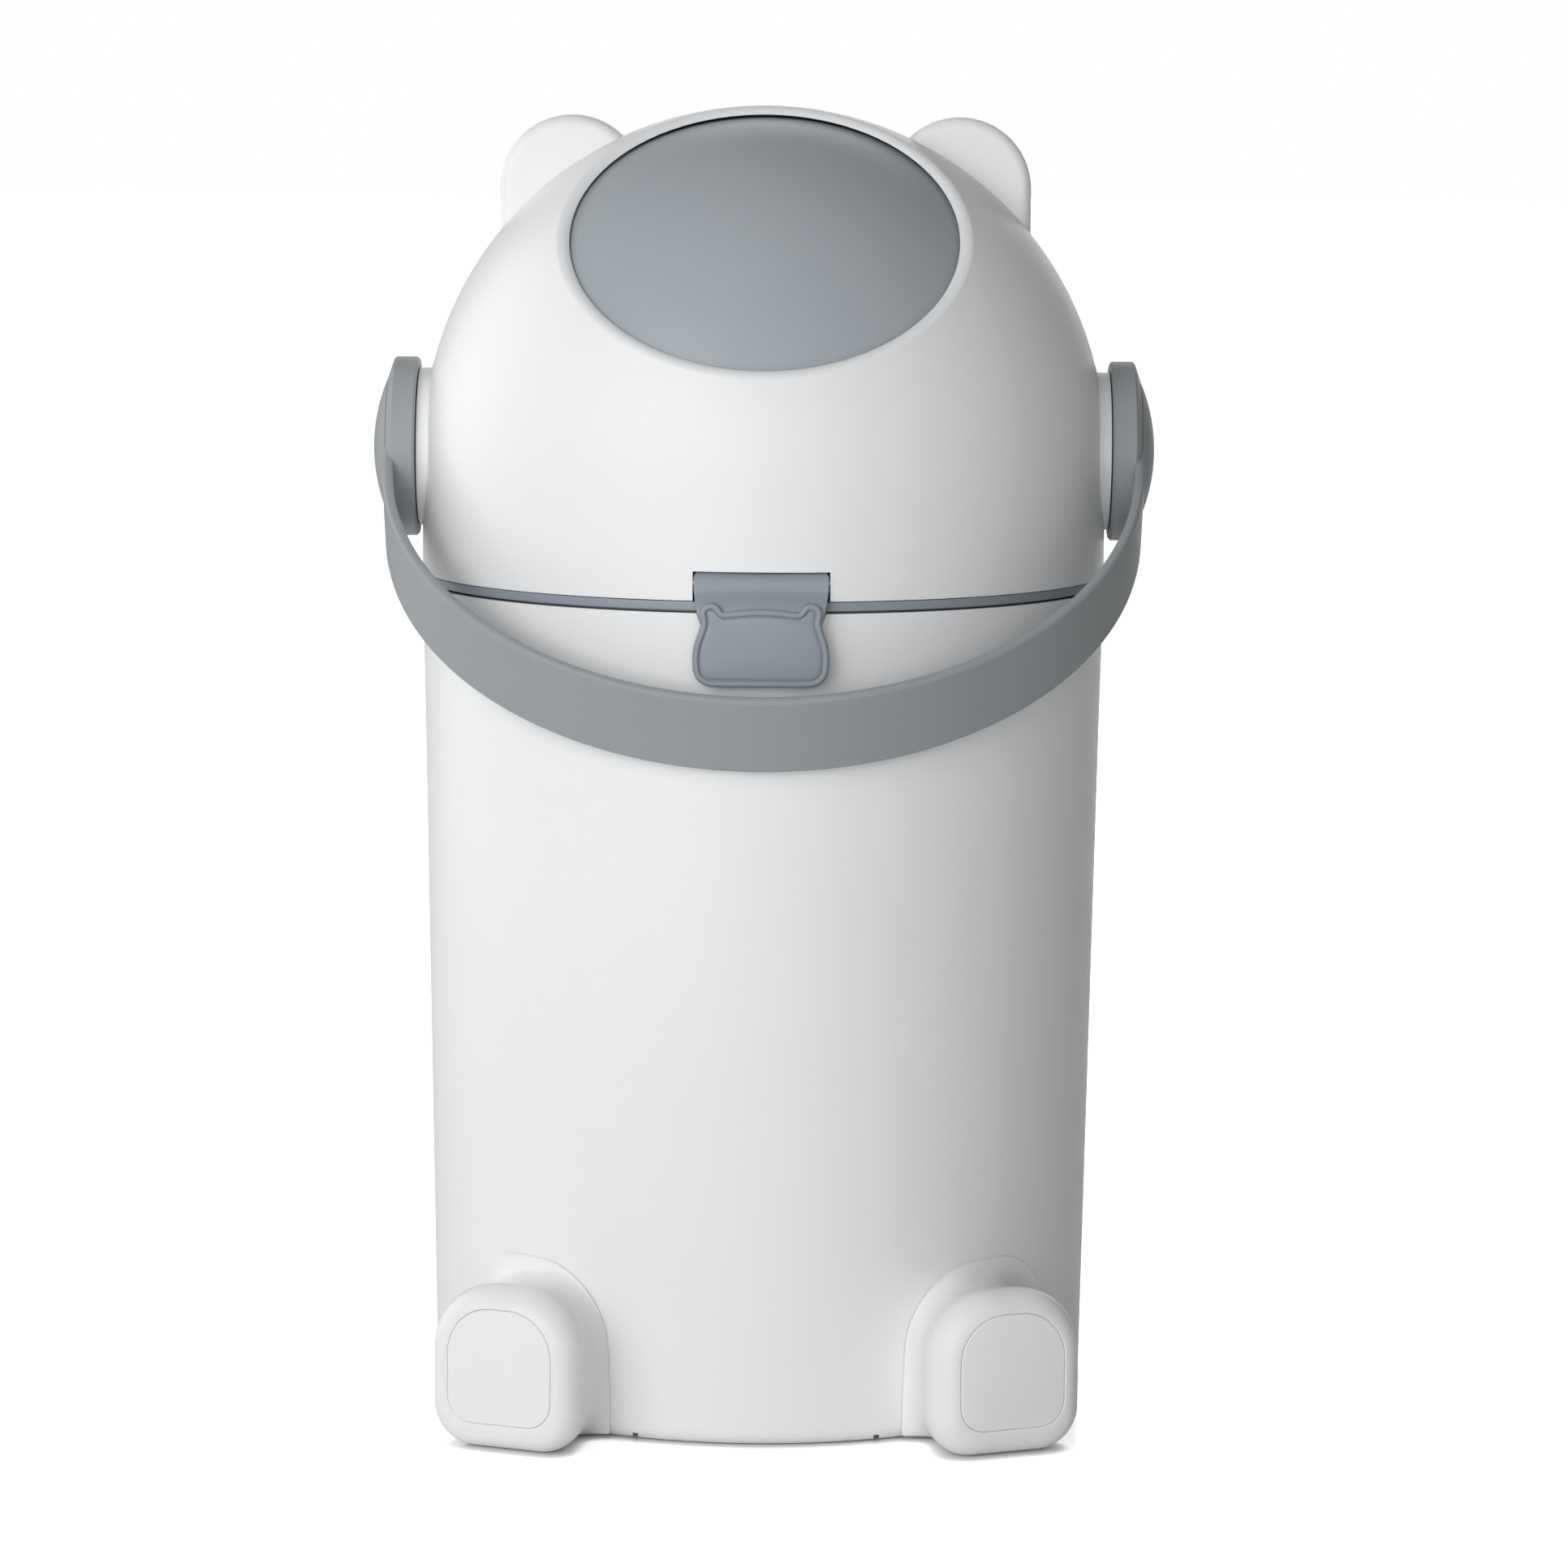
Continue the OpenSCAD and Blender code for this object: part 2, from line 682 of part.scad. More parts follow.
// The paddle's outline: a wide rounded head with two small round ears.
// Each corner is [x, height above the paddle's bottom, radius]
paddle_side = [
    [latch_w * 0.484, 0, 6.5],
    [latch_w * 0.498, 13, 22],
    [latch_w * 0.432, 22.6, 6],
    [latch_w * 0.462, 30.2, 3.2],
    [latch_w * 0.324, 30.2, 3.6],
    [latch_w * 0.292, 25.8, 3]];
paddle_corners = concat(
    paddle_side,
    [[0, crown_h, crown_r]],
    [for (i = [len(paddle_side) - 1:-1:0]) [-paddle_side[i][0], paddle_side[i][1], paddle_side[i][2]]]);

module paddle_outline(inset) {
    translate([0, paddle_bottom]) rounded_polygon(inset_corners(paddle_corners, inset), 5);
}

// A block in front of the tube, cut along -Y by the outline given
module front_prism() {
    rotate([90, 0, 0]) linear_extrude(height = far) children();
}

// The latch is flatter than the tube: its faces turn round a line behind the tube's axis
module bent_profile() {
    translate([0, latch_bend, 0]) rotate_extrude() translate([latch_bend, 0]) children();
}

module bent_wall(r_in, r_out) {
    bent_profile() translate([r_in, 0]) square([r_out - r_in, axis_z]);
}

module latch_tab_profile() polygon([
    [top_r - 4.6, latch_z],
    [top_r - 0.6, latch_z],
    [top_r - 0.2, latch_z - 2.6],
    [top_r + 2.2, latch_z - 5.2],
    [latch_out - 0.8, latch_z - 9],
    [latch_out - 0.8, paddle_bottom + tab_lap],
    [latch_in, paddle_bottom + tab_lap],
    [latch_in - 1.4, ring_top + 0.6],
    [top_r - 4.6, ring_top + 1.8]]);

module latch_hook_profile() polygon([
    [latch_in + 0.5, keeper_z - 0.4],
    [tube_r(keeper_z) + keeper_out + run_gap, keeper_z - 0.4],
    [tube_r(keeper_z) + keeper_out + run_gap, keeper_z - 2],
    [latch_in + 0.5, keeper_z - 5]]);

// The tab's outline, narrower where it joins the paddle
module tab_outline() {
    side = [[tab_w / 2, window_top], [tab_w / 2, seam_z + 1], [latch_w * 0.42, seam_z - 3],
            [latch_w * 0.42, paddle_bottom + tab_neck_h],
            [latch_w * 0.34, paddle_bottom + tab_foot_h]];
    polygon(concat(side, [for (i = [len(side) - 1:-1:0]) [-side[i][0], side[i][1]]]));
}

module latch() color("lightslategray") difference() {
    union() {
        intersection() {
            bent_profile() latch_tab_profile();
            front_prism() tab_outline();
        }
        translate([0, latch_y, latch_z]) x_bar(latch_barrel_r, -tab_w / 2, tab_w / 2);
        intersection() {
            bent_wall(latch_in, latch_out);
            front_prism() paddle_outline(0);
        }
        intersection() {
            bent_wall(latch_out - 1, latch_out + rim_h);
            front_prism() difference() {
                paddle_outline(0);
                paddle_outline(rim_w);
            }
        }
        intersection() {
            bent_profile() latch_hook_profile();
            front_prism() translate([-catch_w / 2, paddle_bottom]) square([catch_w, latch_drop]);
        }
    }
    translate([0, latch_y, latch_z]) x_bar(latch_pin_r + pin_gap, -far, far);
}

module latch_pin() color("silver")
    translate([0, latch_y, latch_z]) x_bar(latch_pin_r, -pin_half, pin_half);

// ---- Drum and handle ---------------------------------------------------------

// The part of the drum's shell between two heights below the hub axis
module drum_zone(from_drop, to_drop) {
    translate([-far, -far, -to_drop]) cube([2 * far, 2 * far, to_drop - from_drop]);
}

module drum_shell(outer, inner) {
    difference() {
        sphere(r = outer, $fn = 128);
        sphere(r = inner, $fn = 128);
    }
}

// Upper shell: the closed grey face, with a flat inside at each trunnion
module drum_upper() color("slategray") at_axis() difference() {
    intersection() {
        sphere(r = drum_r, $fn = 128);
        drum_zone(-far, split_drop);
    }
    intersection() {
        sphere(r = drum_in, $fn = 128);
        cube([2 * pad_x, far, far], center = true);
    }
    x_bar(trunnion_r + pin_gap, -far, far);
    both_sides() trunnion_screw_places()
        x_bar(trunnion_screw_r + pin_gap, pad_x - 1, pad_x + trunnion_screw_bite + lap_gap);
}

// Lower shell: from the lap joint down to the rolled mouth
module drum_lower() color("slategray") at_axis() difference() {
    union() {
        intersection() {
            drum_shell(drum_r, drum_in);
            drum_zone(split_drop + lap_gap, far);
        }
        intersection() {
            drum_shell(drum_in - lap_gap, drum_in - 2);
            drum_zone(split_drop - lap_h, split_drop + lap_h);
        }
        intersection() {
            drum_shell(drum_in + 0.5, drum_in - 2);
            drum_zone(split_drop + 1, split_drop + lap_h);
        }
        translate([0, 0, -drop_at(drum_r, mouth_r + 2)]) difference() {
            cylinder(r = mouth_r + 2.2, h = 12);
            translate([0, 0, -1]) cylinder(r = mouth_r, h = 14);
        }
    }
    translate([0, 0, -far]) cylinder(r = mouth_r, h = far - split_drop);
}

trunnion_screw_r = 1.4;

module trunnion_screw_places() {
    for (a = [45:90:315]) rotate([a, 0, 0]) translate([0, 0, trunnion_flange_r - 6]) children();
}

// A trunnion: a flange inside the drum, a round journal and a square key for the handle
module trunnion() at_axis() difference() {
    union() {
        x_bar(trunnion_flange_r, pad_x - trunnion_flange_t, pad_x);
        x_bar(trunnion_r, pad_x, key_x);
        translate([key_x, -key_w / 2, -key_w / 2]) cube([key_end - key_x, key_w, key_w]);
    }
    x_bar(hub_screw_r, key_end - hub_screw_bite - 1, far);
    trunnion_screw_places() x_bar(trunnion_screw_r + pin_gap, pad_x - far, pad_x + 1);
}

module trunnion_left() color("gainsboro") on_side(-1) trunnion();
module trunnion_right() color("gainsboro") on_side(1) trunnion();

module trunnion_screws() color("silver") at_axis() both_sides() trunnion_screw_places() {
    head_x = pad_x - trunnion_flange_t;
    x_bar(trunnion_screw_r * 2, head_x - 1.4, head_x);
    x_bar(trunnion_screw_r, head_x, pad_x + trunnion_screw_bite);
}

// The strap's section: its width along Z and its thickness along X, with rounded edges
module strap_section(r_out) {
    rounded_rect(r_out - strap_t, -strap_w / 2, r_out, strap_w / 2, strap_t * 0.42, 5);
}

// Turns the handle's own frame, in which the bow points along -Y, to its resting place
module handle_frame() {
    at_axis() rotate([rest_drop, 0, 0]) children();
}

// A disc with a bevelled rim, whose outer face slopes up to its cap
module hub_disc() rotate([0, 90, 0]) {
    shoulder_x = disc_out - shoulder_h;
    rotate_extrude() polygon([
        [0, disc_x],
        [hub_r - hub_edge, disc_x],
        [hub_r, disc_x + hub_edge],
        [hub_r, shoulder_x - hub_edge],
        [hub_r - hub_edge, shoulder_x],
        [cap_r + 1, disc_out],
        [0, disc_out]]);
}

module handle() color("slategray") difference() {
    union() {
        handle_frame() {
            translate([0, -arm_l, 0]) intersection() {
                rotate_extrude($fn = 128) strap_section(bow_r);
                translate([-far, -far, -far]) cube([2 * far, far, 2 * far]);
            }
            both_sides() translate([0, -arm_l, 0]) rotate([-90, 0, 0])
                linear_extrude(height = arm_l) strap_section(bow_r);
        }
        at_axis() both_sides() hub_disc();
    }
    at_axis() both_sides() {
        translate([disc_x - 1, -key_w / 2 - lap_gap, -key_w / 2 - lap_gap])
            cube([key_end + lap_gap - disc_x + 1, key_w + 2 * lap_gap, key_w + 2 * lap_gap]);
        x_bar(trunnion_r + 2 * pin_gap, disc_x - 1, key_x + lap_gap);
        x_bar(hub_screw_r + pin_gap, key_end, far);
        x_bar(cap_plug_r + lap_gap, disc_out - cap_plug_t, far);
        x_bar(cap_r + run_gap, disc_out, far);
    }
}

cap_plug_r = 13;
cap_plug_t = 1.5;

// A hub cap: a shallow crown over the disc, with a round plug into it, in one revolve
module hub_cap() at_axis() rotate([0, 90, 0]) {
    cap_base = disc_out + 0.25;
    ball = (cap_r * cap_r + cap_h * cap_h) / (2 * cap_h);
    room_r = hub_screw_head_r + 1;
    rotate_extrude() polygon(concat(
        arc(0, cap_base + cap_h - ball, ball, atan2(ball - cap_h, cap_r) + 0.6, 90, 14),
        [[0, cap_base + 2.4],
         [room_r, cap_base + 2.4],
         [room_r, disc_out - cap_plug_t + lap_gap],
         [cap_plug_r, disc_out - cap_plug_t + lap_gap],
         [cap_plug_r, cap_base],
         [cap_r - 0.5, cap_base]]));
}

hub_screw_head_r = 6;

module hub_cap_left() color("slategray") on_side(-1) hub_cap();
module hub_cap_right() color("slategray") on_side(1) hub_cap();

module hub_screws() color("silver") at_axis() both_sides() {
    seat_x = disc_out - cap_plug_t;
    x_bar(hub_screw_head_r, seat_x, seat_x + 3);
    x_bar(hub_screw_r - pin_gap, seat_x - hub_screw_bite, seat_x);
}

tube();
foot_left();
foot_right();
sole_panel_left();
sole_panel_right();
foot_screws();
bag_ring();
hinge_pin();
dome();
opening_seal();
drum_bowl_cover();
outlet_seal();
cover_screws();
head_seal();
bush_left();
bush_right();
latch();
latch_pin();
drum_upper();
drum_lower();
trunnion_left();
trunnion_right();
trunnion_screws();
handle();
hub_cap_left();
hub_cap_right();
hub_screws();
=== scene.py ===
# %% [markdown]
# # A nappy bin in white and blue-grey plastic
#
# The bin is a tall tapered tube with a hinged dome on top. A ball-shaped drum turns inside
# the dome together with the carrying handle. The construction comes from the frame, which
# holds every piece at its real size. This lesson gives the bin its soft edges, its smooth
# transitions between forms, and the finish of moulded plastic.

# %% Load the frame
import json
import math

import bmesh
import bpy
from mathutils import Matrix, Vector


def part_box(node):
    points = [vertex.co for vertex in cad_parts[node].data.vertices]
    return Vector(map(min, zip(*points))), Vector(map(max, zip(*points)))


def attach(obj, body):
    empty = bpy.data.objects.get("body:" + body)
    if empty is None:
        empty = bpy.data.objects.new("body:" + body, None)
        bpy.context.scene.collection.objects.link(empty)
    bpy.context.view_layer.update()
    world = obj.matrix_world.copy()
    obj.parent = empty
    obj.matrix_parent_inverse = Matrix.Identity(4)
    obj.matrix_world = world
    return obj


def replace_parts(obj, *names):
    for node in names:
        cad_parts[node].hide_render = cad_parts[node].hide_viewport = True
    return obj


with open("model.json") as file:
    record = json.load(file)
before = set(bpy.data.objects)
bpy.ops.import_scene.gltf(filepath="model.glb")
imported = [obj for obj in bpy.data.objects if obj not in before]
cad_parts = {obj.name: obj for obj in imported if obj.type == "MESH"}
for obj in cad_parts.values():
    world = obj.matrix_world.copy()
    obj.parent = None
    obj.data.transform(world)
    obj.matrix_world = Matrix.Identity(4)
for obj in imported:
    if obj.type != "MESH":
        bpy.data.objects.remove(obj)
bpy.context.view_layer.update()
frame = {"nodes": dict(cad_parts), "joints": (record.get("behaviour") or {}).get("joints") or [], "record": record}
MM = 0.001
print("nodes in the frame:", len(frame["nodes"]))

# %% [markdown]
# ## Measures taken from the frame
#
# Every new piece has to sit where the frame says. Typed places would be quicker to write,
# but they drift away from the frame as soon as it changes. So the main places are read from
# the frame's boxes, and the joints give the axis of the hubs and the pin of the latch.

# %% Read the driving sizes
joints = {joint["name"]: joint for joint in frame["joints"]}
_, tube_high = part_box("tube")
ring_low, ring_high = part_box("bag_ring")
RING_T = 4.2 * MM
RING_TOP = ring_high.z
TUBE_TOP = RING_TOP - RING_T
TOP_R = tube_high.x
BASE_R = 124.5 * MM  # the tube's radius at the floor, which no box shows
print("hub axis at", joints["handle_turn"]["pos_m"][2], "m, dome radius", round(TOP_R, 4), "m")

# %% [markdown]
# ## Camera
#
# The camera stands about two metres in front of the bin, a little above its middle, with a
# long lens, so the bin keeps its true proportions. It looks slightly down: the opening in
# the dome shows as a wide oval and the seam between tube and dome as a gentle curve. A
# constraint could aim it at a point, but the direction is written out here as three angles,
# because a small roll can then be set as well.

# %% Place the camera
CAMERA_AT = Vector((0.0112, -2.1449, 0.5036))
YAW, PITCH, ROLL = (math.radians(a) for a in (-0.072, 7.271, 0.421))
SENSOR_MM = 36.0
LENS_MM = 129.1

bpy.ops.object.camera_add(location=CAMERA_AT)
camera = bpy.context.object
camera.name = "camera"
look = Vector((math.sin(YAW) * math.cos(PITCH), math.cos(YAW) * math.cos(PITCH), -math.sin(PITCH)))
level_right = look.cross(Vector((0, 0, 1))).normalized()
level_up = level_right.cross(look)
right = math.cos(ROLL) * level_right + math.sin(ROLL) * level_up
up = -math.sin(ROLL) * level_right + math.cos(ROLL) * level_up
turn = Matrix((right, up, -look)).transposed()
camera.matrix_world = Matrix.Translation(CAMERA_AT) @ turn.to_4x4()
camera.data.sensor_width = SENSOR_MM
camera.data.lens = LENS_MM
bpy.context.scene.camera = camera
print("camera looks down by", round(math.degrees(PITCH), 1), "degrees")

# %% [markdown]
# ## Moulded plastic
#
# Injection-moulded plastic is never one flat colour. The surface has a very fine grain from
# the mould, its gloss changes a little from place to place, and the colour drifts slightly
# where the wall is thicker. A scanned texture could be wrapped round each piece, but it
# would stretch on the round forms. Here all of it is made with noise textures on Object
# coordinates, so the grain has its real size in millimetres on every piece.

# %% Noise of three sizes
DRIFT_SCALE, GLOSS_SCALE, GRAIN_SCALE = 9, 60, 2600  # waves per metre


def link(tree, source, target):
    tree.links.new(source, target)


def noise_node(tree, coords, scale, detail):
    noise = tree.nodes.new("ShaderNodeTexNoise")
    noise.inputs["Scale"].default_value = scale
    noise.inputs["Detail"].default_value = detail
    link(tree, coords, noise.inputs["Vector"])
    return noise.outputs["Fac"]


print("the mould's grain is", round(1 / GRAIN_SCALE / MM, 1), "mm wide")

# %% A recipe for plastic
PLASTIC_IOR = 1.46
GLOSS_SPREAD = 0.05
GRAIN_DEPTH = 0.2 * MM


def plastic(name, colour, roughness, grain=0.03, drift=0.03, shine=0.5):
    """Moulded plastic: colour is linear RGB, grain the depth of the mould's texture."""
    material = bpy.data.materials.new(name)
    material.use_nodes = True
    tree = material.node_tree
    shader = tree.nodes["Principled BSDF"]
    shader.inputs["IOR"].default_value = PLASTIC_IOR
    shader.inputs["Specular IOR Level"].default_value = shine
    coords = tree.nodes.new("ShaderNodeTexCoord").outputs["Object"]

    shade = tree.nodes.new("ShaderNodeMix")
    shade.data_type = "RGBA"
    link(tree, noise_node(tree, coords, DRIFT_SCALE, detail=3), shade.inputs["Factor"])
    shade.inputs["A"].default_value = [c * (1 - drift) for c in colour] + [1]
    shade.inputs["B"].default_value = [min(1, c * (1 + drift)) for c in colour] + [1]
    link(tree, shade.outputs["Result"], shader.inputs["Base Color"])

    gloss = tree.nodes.new("ShaderNodeMapRange")
    link(tree, noise_node(tree, coords, GLOSS_SCALE, detail=4), gloss.inputs["Value"])
    gloss.inputs["To Min"].default_value = roughness - GLOSS_SPREAD
    gloss.inputs["To Max"].default_value = roughness + GLOSS_SPREAD
    link(tree, gloss.outputs["Result"], shader.inputs["Roughness"])

    bump = tree.nodes.new("ShaderNodeBump")
    bump.inputs["Strength"].default_value = grain
    bump.inputs["Distance"].default_value = GRAIN_DEPTH
    link(tree, noise_node(tree, coords, GRAIN_SCALE, detail=2), bump.inputs["Height"])
    link(tree, bump.outputs["Normal"], shader.inputs["Normal"])
    return material


white = plastic("white_plastic", (0.86, 0.865, 0.87), 0.42)
print("made", white.name, "for the tube, the dome and the feet")

# %% The bin's other finishes
blue_grey = plastic("blue_grey_plastic", (0.335, 0.354, 0.363), 0.46, drift=0.04, shine=0.2)
latch_grey = plastic("latch_plastic", (0.282, 0.314, 0.35), 0.4, drift=0.04)
drum_grey = plastic("drum_plastic", (0.388, 0.425, 0.452), 0.38, drift=0.04)
inner_grey = plastic("inner_plastic", (0.66, 0.68, 0.7), 0.5)
bearing = plastic("pale_bearing", (0.74, 0.74, 0.71), 0.35)
# The seal under the rim of the dome's opening is near black: painted shade that stands in for the shadow gap
# between dome and drum.
seal_as_gap_shade = plastic("seal_as_gap_shade", (0.08, 0.085, 0.09), 0.7, grain=0.1)
steel = plastic("zinc_steel", (0.55, 0.56, 0.57), 0.3, grain=0.05)
steel.node_tree.nodes["Principled BSDF"].inputs["Metallic"].default_value = 1.0
print("finishes:", [m.name for m in bpy.data.materials])

# %% [markdown]
# ## Dress the nodes of the frame
#
# Most pieces of the bin already have their final shape in the frame: the tube, the dome, the
# drum, the handle with its hubs, and all that is hidden inside. They could be modelled again
# from primitives, but that would only risk their fits. Such a node keeps its mesh and gets
# its finish.

# %% Give each node its finish
finish_of_slot = {
    "white_shell": white,
    "grey_shell": blue_grey,
    "inner_shell": inner_grey,
    "seal": seal_as_gap_shade,
    "steel": steel,
    "bearing_plastic": bearing,
}


def dress(obj, material):
    obj.data.materials.clear()
    obj.data.materials.append(material)


for part in frame["record"]["subparts"]:
    dress(frame["nodes"][part["node"]], finish_of_slot[part["material_slot"]])
for name in ("drum_upper", "drum_lower"):
    dress(frame["nodes"][name], drum_grey)

# %% [markdown]
# ## The bag ring
#
# The grey ring between tube and dome grips the edge of the bag. Its band stands above a
# narrow groove, and that groove draws the dark line over the tube. A cylinder with loops of
# faces moved inwards would give the groove too, but its soft edges would each need a bevel.
# It is simpler to draw the ring's section once and to turn it round the axis with Spin.


# %% Tools for every new piece
def select_only(obj):
    bpy.ops.object.select_all(action="DESELECT")
    obj.select_set(True)
    bpy.context.view_layer.objects.active = obj


def finish_piece(piece, material, body, smooth_angle=50):
    """Smooth shading, finish and the body that the piece moves with."""
    select_only(piece)
    bpy.ops.object.shade_smooth_by_angle(angle=math.radians(smooth_angle))
    dress(piece, material)
    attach(piece, body)
    print(piece.name, "has", len(piece.data.polygons), "faces")


def arc_points(centre, radius, start, end, count):
    """Points on an arc in a plane, angles in degrees, both ends included."""
    angles = [math.radians(start + (end - start) * i / count) for i in range(count + 1)]
    return [(centre[0] + radius * math.cos(a), centre[1] + radius * math.sin(a)) for a in angles]


print("a quarter arc in 4 steps has", len(arc_points((0, 0), 1, 0, 90, 4)), "points")

# %% The ring's section
RING_R, RING_SKIRT_R, RING_SKIRT_T = TOP_R - 0.3 * MM, TOP_R - 7 * MM, 2 * MM
RING_GROOVE, RING_GROOVE_R = 0.9 * MM, TOP_R - 5 * MM
RING_SOFT, RING_BREAK = 0.35 * MM, 0.8 * MM
SKIRT_BREAK = 1 * MM


def ring_section():
    """The ring's outline as (radius, height), from the foot of its skirt round its band."""
    band_low = TUBE_TOP + RING_GROOVE
    centre = RING_R - RING_SOFT
    inner = RING_SKIRT_R - RING_SKIRT_T
    return ([(inner, ring_low.z), (RING_SKIRT_R, ring_low.z), (RING_SKIRT_R, TUBE_TOP - SKIRT_BREAK),
             (RING_SKIRT_R + SKIRT_BREAK, TUBE_TOP), (RING_GROOVE_R, TUBE_TOP),
             (RING_GROOVE_R, band_low)]
            + arc_points((centre, band_low + RING_SOFT), RING_SOFT, -90, 0, 4)
            + arc_points((centre, RING_TOP - RING_SOFT), RING_SOFT, 0, 90, 4)
            + [(inner + RING_BREAK, RING_TOP), (inner, RING_TOP - RING_BREAK)])


print("the band is", round((RING_TOP - TUBE_TOP - RING_GROOVE) / MM, 1), "mm high")


# %% Turn the section round the axis
def turned(name, section, material, body, steps=256):
    """A closed section, as (radius, height), turned once round the bin's axis."""
    count = len(section)
    mesh = bpy.data.meshes.new(name)
    edges = [(i, (i + 1) % count) for i in range(count)]
    mesh.from_pydata([(r, 0, z) for r, z in section], edges, [])
    piece = bpy.data.objects.new(name, mesh)
    bpy.context.collection.objects.link(piece)
    select_only(piece)
    bpy.ops.object.mode_set(mode="EDIT")
    bpy.ops.mesh.select_all(action="SELECT")
    bpy.ops.mesh.spin(steps=steps, angle=math.tau, center=(0, 0, 0), axis=(0, 0, 1))
    bpy.ops.mesh.select_all(action="SELECT")
    bpy.ops.mesh.remove_doubles(threshold=1e-6)
    bpy.ops.mesh.normals_make_consistent(inside=False)
    bpy.ops.object.mode_set(mode="OBJECT")
    finish_piece(piece, material, body, smooth_angle=35)
    return piece


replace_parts(turned("bag_ring_band", ring_section(), latch_grey, "bin"), "bag_ring")

# %% [markdown]
# ## The skin of a piece, ring by ring
#
# The feet and the latch are soft moulded forms that change their section all the way along.
# Extrude and bevel keep one section and one edge radius, and a sculpted block has no exact
# sizes. Such a form is easiest to control as a row of rings, each with the same number of
# points: every ring is a section, and quads join it to the next one. The first and last
# rings are closed with a flat face.


# %% Outlines with round corners
def round_outline(half_width, low, high, low_radius, high_radius, steps=10, sides=6):
    """An anticlockwise outline with round corners, as (x, z); it starts at the lower right."""
    right, left = half_width, -half_width
    corners = [
        arc_points((right - low_radius, low + low_radius), low_radius, -90, 0, steps),
        arc_points((right - high_radius, high - high_radius), high_radius, 0, 90, steps),
        arc_points((left + high_radius, high - high_radius), high_radius, 90, 180, steps),
        arc_points((left + low_radius, low + low_radius), low_radius, 180, 270, steps),
    ]
    outline = []
    for here, following in zip(corners, corners[1:] + corners[:1]):
        outline += here
        (x0, z0), (x1, z1) = here[-1], following[0]
        outline += [(x0 + (x1 - x0) * i / sides, z0 + (z1 - z0) * i / sides) for i in range(1, sides)]
    return outline


print("a round outline has", len(round_outline(2, 0, 4, 1, 1)), "points")


# %% A skin through the rings
def skin(name, rings, material, body, smooth_angle=50):
    """A closed mesh through the rings, its two ends closed by flat faces."""
    mesh = bpy.data.meshes.new(name)
    build = bmesh.new()
    rows = [[build.verts.new(point) for point in ring] for ring in rings]
    count = len(rows[0])
    for row, following in zip(rows, rows[1:]):
        for i in range(count):
            j = (i + 1) % count
            build.faces.new((row[i], row[j], following[j], following[i]))
    build.faces.new(list(reversed(rows[0])))
    build.faces.new(rows[-1])
    bmesh.ops.recalc_face_normals(build, faces=build.faces)
    build.to_mesh(mesh)
    build.free()
    piece = bpy.data.objects.new(name, mesh)
    bpy.context.collection.objects.link(piece)
    finish_piece(piece, material, body, smooth_angle)
    return piece


def smooth_step(t):
    """From 0 to 1 with a soft start and a soft stop; below 0 and above 1 it stays level."""
    t = min(1, max(0, t))
    return t * t * (3 - 2 * t)


print("half way a soft step is at", smooth_step(0.5))

# %% [markdown]
# ## Feet
#
# Each foot is a soft white moulding. Its sole faces forwards and a little outwards, as if
# the bin sat with its legs stretched out. Behind the rounded sole the foot narrows to a
# waist and then widens again in a hollow curve, until it lies flat on the tube. The frame
# gives that form in straight stretches. They could be smoothed with a modifier, but then
# the sole would lose its size. Instead every direction round the foot gets a curve of its
# own from the waist to the flange's edge, so the light runs over it without a break.

# %% Sizes of a foot
FOOT_W, FOOT_H = 58.8 * MM, 60.8 * MM
FOOT_TOP_R, FOOT_LOW_R, FOOT_EDGE_R = 24 * MM, 16 * MM, 10 * MM
FOOT_AT = Vector((94 * MM, -137.4 * MM, 0))
FOOT_TURN = math.radians(22)
WAIST_DEPTH, WAIST_IN = 29 * MM, 3.4 * MM
SOLE_W, SOLE_H, SOLE_UP, SOLE_T = 41.2 * MM, 42.8 * MM, 10.4 * MM, 2.4 * MM
SOLE_LOW_R, SOLE_TOP_R, SOLE_BULGE = 9.5 * MM, 17 * MM, 0.5 * MM
GROOVE, SOFT_EDGE, SOLE_GAP = 0.1 * MM, 0.5 * MM, 0.1 * MM
LEAST_R = 1 * MM
print("the sole stands", round(-FOOT_AT.y / MM, 1), "mm in front of the axis")


# %% Sections of the foot and of its sole
def foot_point(x, depth, z):
    """A point of the foot's own frame, whose sole faces forwards, in the bin's frame."""
    out = Vector((math.cos(FOOT_TURN), math.sin(FOOT_TURN), 0))
    back = Vector((-math.sin(FOOT_TURN), math.cos(FOOT_TURN), 0))
    return FOOT_AT + out * x + back * depth + Vector((0, 0, z))


def sole_ring(depth, grow):
    """The sole panel's outline; its sides bulge a little."""
    half = SOLE_W / 2 + grow
    outline = round_outline(half, SOLE_UP - grow, SOLE_UP + SOLE_H + grow,
                            SOLE_LOW_R + grow, SOLE_TOP_R + grow)
    middle = SOLE_UP + SOLE_H / 2
    return [foot_point(x * (1 - SOLE_BULGE / half * ((z - middle) / middle) ** 2), depth, z)
            for x, z in outline]


def foot_ring(depth, inset, waist=0.0):
    """The foot's section; the front edge is inset all round, the waist leaves the floor line."""
    half = FOOT_W / 2 - inset - waist
    outline = round_outline(half, inset, FOOT_H - inset - waist,
                            max(FOOT_LOW_R - inset, LEAST_R), max(FOOT_TOP_R - inset, LEAST_R))
    return [foot_point(x, depth, z) for x, z in outline]


print("a section of the foot has", len(foot_ring(FOOT_EDGE_R, 0)), "points")

# %% The flange's edge on the tube
FLANGE_AZ = math.radians(42.5)
FLANGE_HALF, FLANGE_H, FLANGE_TOP_R = 36.2 * MM, 64.2 * MM, 29 * MM
FLANGE_LOW, FLANGE_LOW_R = 1.5 * MM, 1 * MM
FLANGE_NARROWING = 0.08
FLANGE_EDGE = 0.7 * MM
SEAT_GAP = 0.15 * MM


def tube_radius(z):
    return BASE_R + (TOP_R - BASE_R) * z / TUBE_TOP


